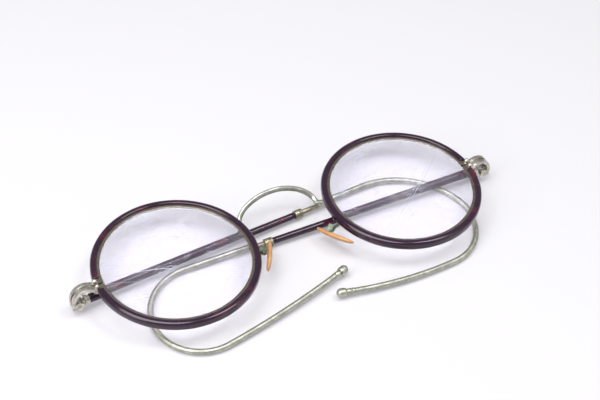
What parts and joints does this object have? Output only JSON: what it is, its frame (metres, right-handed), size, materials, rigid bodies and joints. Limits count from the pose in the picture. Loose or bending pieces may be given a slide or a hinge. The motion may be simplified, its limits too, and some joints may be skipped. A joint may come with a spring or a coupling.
{
  "type": "round spectacles",
  "caption": "Round metal spectacles with celluloid-covered rims, arched bridge, rocking nose pads and hinged temples that end in wound-cable ear hooks, lying folded",
  "frame": {"origin": "on the surface the spectacles lie on, under the middle of their outline when folded", "axes": "+X runs across the lenses toward the wearer's left-hand lens as seen from the front on the right, +Y is up when worn, +Z is the way the lenses face"},
  "size_m": [0.1234, 0.0488, 0.0095],
  "materials": {
    "dark_celluloid": "polished dark plum celluloid, slightly worn",
    "amber_celluloid": "aged amber celluloid, satin",
    "lens_glass": "clear ground glass with fine scratches",
    "eyewire_metal": "tarnished nickel silver",
    "end_piece_metal": "worn bright nickel silver with a trace of verdigris",
    "bridge_metal": "worn nickel silver wire",
    "screw_metal": "turned nickel silver, dulled",
    "arm_metal": "nickel silver with verdigris",
    "core_metal": "dull nickel silver",
    "cable_metal": "close-wound nickel silver wire, dulled"
  },
  "bodies": {
    "front": {"bridge": "bridge_metal", "left_eyewire": "eyewire_metal", "left_rim_cover": "dark_celluloid", "left_lens": "lens_glass", "left_end_piece_upper": "end_piece_metal", "left_end_piece_lower": "end_piece_metal", "left_hinge_screw": "screw_metal", "left_pad_arm": "arm_metal", "left_pad_pin": "screw_metal", "right_eyewire": "eyewire_metal", "right_rim_cover": "dark_celluloid", "right_lens": "lens_glass", "right_end_piece_upper": "end_piece_metal", "right_end_piece_lower": "end_piece_metal", "right_hinge_screw": "screw_metal", "right_pad_arm": "arm_metal", "right_pad_pin": "screw_metal"},
    "left_temple": {"left_temple_joint": "end_piece_metal", "left_temple_core": "core_metal", "left_temple_sleeve": "dark_celluloid", "left_ferrule": "core_metal", "left_ear_cable": "cable_metal", "left_ear_tip": "cable_metal"},
    "right_temple": {"right_temple_joint": "end_piece_metal", "right_temple_core": "core_metal", "right_temple_sleeve": "dark_celluloid", "right_ferrule": "core_metal", "right_ear_cable": "cable_metal", "right_ear_tip": "cable_metal"},
    "left_pad": {"left_pad_mount": "arm_metal", "left_nose_pad": "amber_celluloid"},
    "right_pad": {"right_pad_mount": "arm_metal", "right_nose_pad": "amber_celluloid"}
  },
  "joints": [
    {"name": "left_temple_fold", "type": "hinge", "parent": "left_temple", "child": "front", "pos_m": [-0.0599, 0.0029, 0.00367], "axis": [0, -1, 0], "range_deg": [0, 92]},
    {"name": "right_temple_fold", "type": "hinge", "parent": "front", "child": "right_temple", "pos_m": [0.0599, 0.0029, 0.00367], "axis": [0, -1, 0], "range_deg": [0, 92], "deforming": ["left_ear_cable"]},
    {"name": "left_pad_rock", "type": "hinge", "parent": "front", "child": "left_pad", "pos_m": [-0.0099, -0.0013, 0.00497], "axis": [0.1715, 0.1064, 0.9794], "range_deg": [-8, 8]},
    {"name": "right_pad_rock", "type": "hinge", "parent": "front", "child": "right_pad", "pos_m": [0.0099, -0.0013, 0.00497], "axis": [-0.6331, -0.1733, 0.7544], "range_deg": [-8, 8]}
  ]
}
